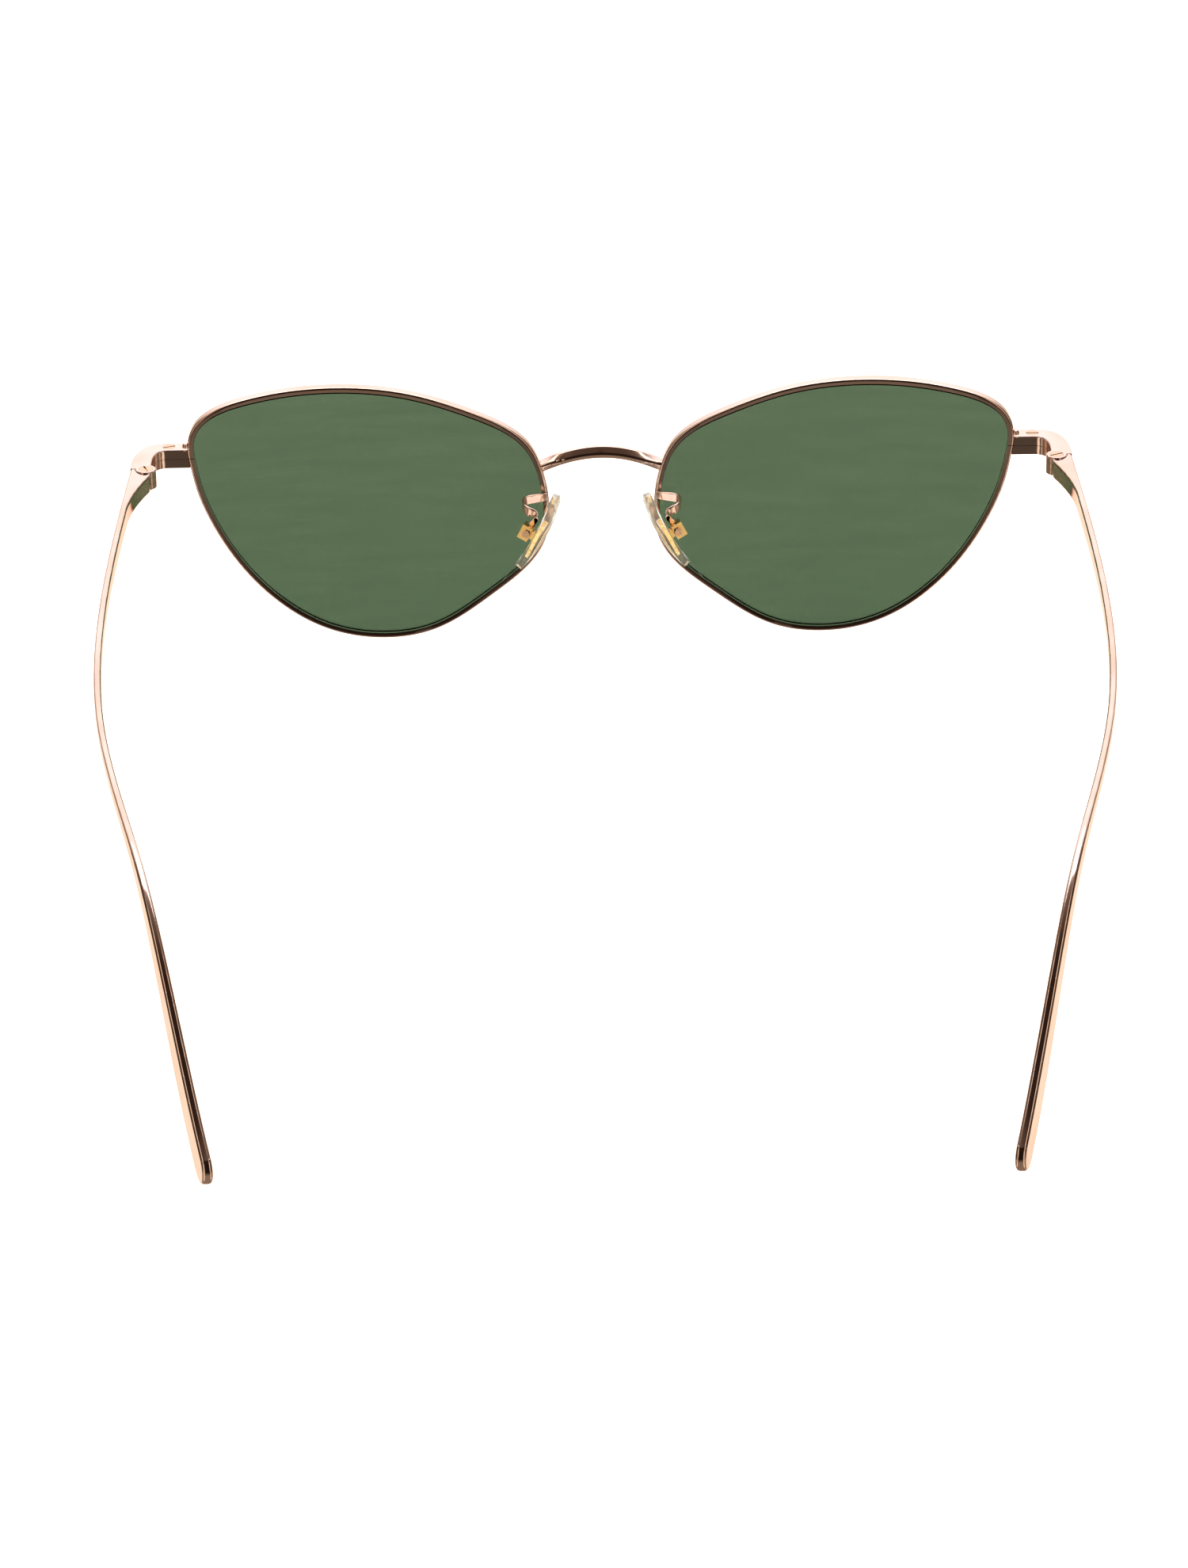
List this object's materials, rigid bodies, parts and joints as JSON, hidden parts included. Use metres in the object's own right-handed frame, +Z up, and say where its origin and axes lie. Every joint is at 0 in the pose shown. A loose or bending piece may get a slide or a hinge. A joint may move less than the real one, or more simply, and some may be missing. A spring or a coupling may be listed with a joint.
{
  "type": "sunglasses",
  "caption": "Full-rim metal cat eye sunglasses with tinted lenses, slim folding temples on screw hinges, and clear rocking nose pads on wire arms.",
  "frame": {"origin": "middle of the bounding box at the level of the surface the sunglasses stand on", "axes": "+X to the wearer's left, +Y from the front towards the temple tips, +Z up; the front faces -Y"},
  "size_m": [0.15, 0.1448, 0.0427],
  "materials": {
    "plated_rim": "mirror polished pale rose gold plating",
    "plated_frame": "mirror polished pale rose gold plating",
    "plated_temple": "mirror polished pale rose gold plating",
    "plated_pad_fittings": "polished gold plating",
    "pad_core": "polished yellow gold plating",
    "screws": "gold plated turned steel",
    "tinted_lens": "polished grey green sun tint",
    "clear_pad": "clear soft polymer"
  },
  "bodies": {
    "front": {"bridge": "plated_frame", "left_rim": "plated_rim", "left_lens": "tinted_lens", "left_upper_endpiece": "plated_frame", "left_lower_endpiece": "plated_frame", "left_rim_lock_screw": "screws", "left_hinge_screw": "screws", "left_pad_arm": "plated_pad_fittings", "left_pad_box": "plated_pad_fittings", "left_pad_screw": "screws", "right_rim": "plated_rim", "right_lens": "tinted_lens", "right_upper_endpiece": "plated_frame", "right_lower_endpiece": "plated_frame", "right_rim_lock_screw": "screws", "right_hinge_screw": "screws", "right_pad_arm": "plated_pad_fittings", "right_pad_box": "plated_pad_fittings", "right_pad_screw": "screws"},
    "left_side": {"left_temple": "plated_temple"},
    "right_side": {"right_temple": "plated_temple"},
    "left_pad": {"left_pad_core": "pad_core", "left_nose_pad": "clear_pad"},
    "right_pad": {"right_pad_core": "pad_core", "right_nose_pad": "clear_pad"}
  },
  "joints": [
    {"name": "left_temple_fold", "type": "hinge", "parent": "front", "child": "left_side", "pos_m": [0.07, -0.06042, 0.03319], "axis": [0, -0.1419, 0.9899], "range_deg": [0, 86]},
    {"name": "right_temple_fold", "type": "hinge", "parent": "front", "child": "right_side", "pos_m": [-0.07, -0.06042, 0.03319], "axis": [0, 0.1419, -0.9899], "range_deg": [0, 82]},
    {"name": "left_pad_rock", "type": "hinge", "parent": "front", "child": "left_pad", "pos_m": [0.01163, -0.06272, 0.02075], "axis": [0.2156, 0.9449, 0.2464], "range_deg": [-8, 8]},
    {"name": "right_pad_rock", "type": "hinge", "parent": "front", "child": "right_pad", "pos_m": [-0.01163, -0.06272, 0.02075], "axis": [-0.2156, 0.9449, 0.2464], "range_deg": [-8, 8]}
  ]
}
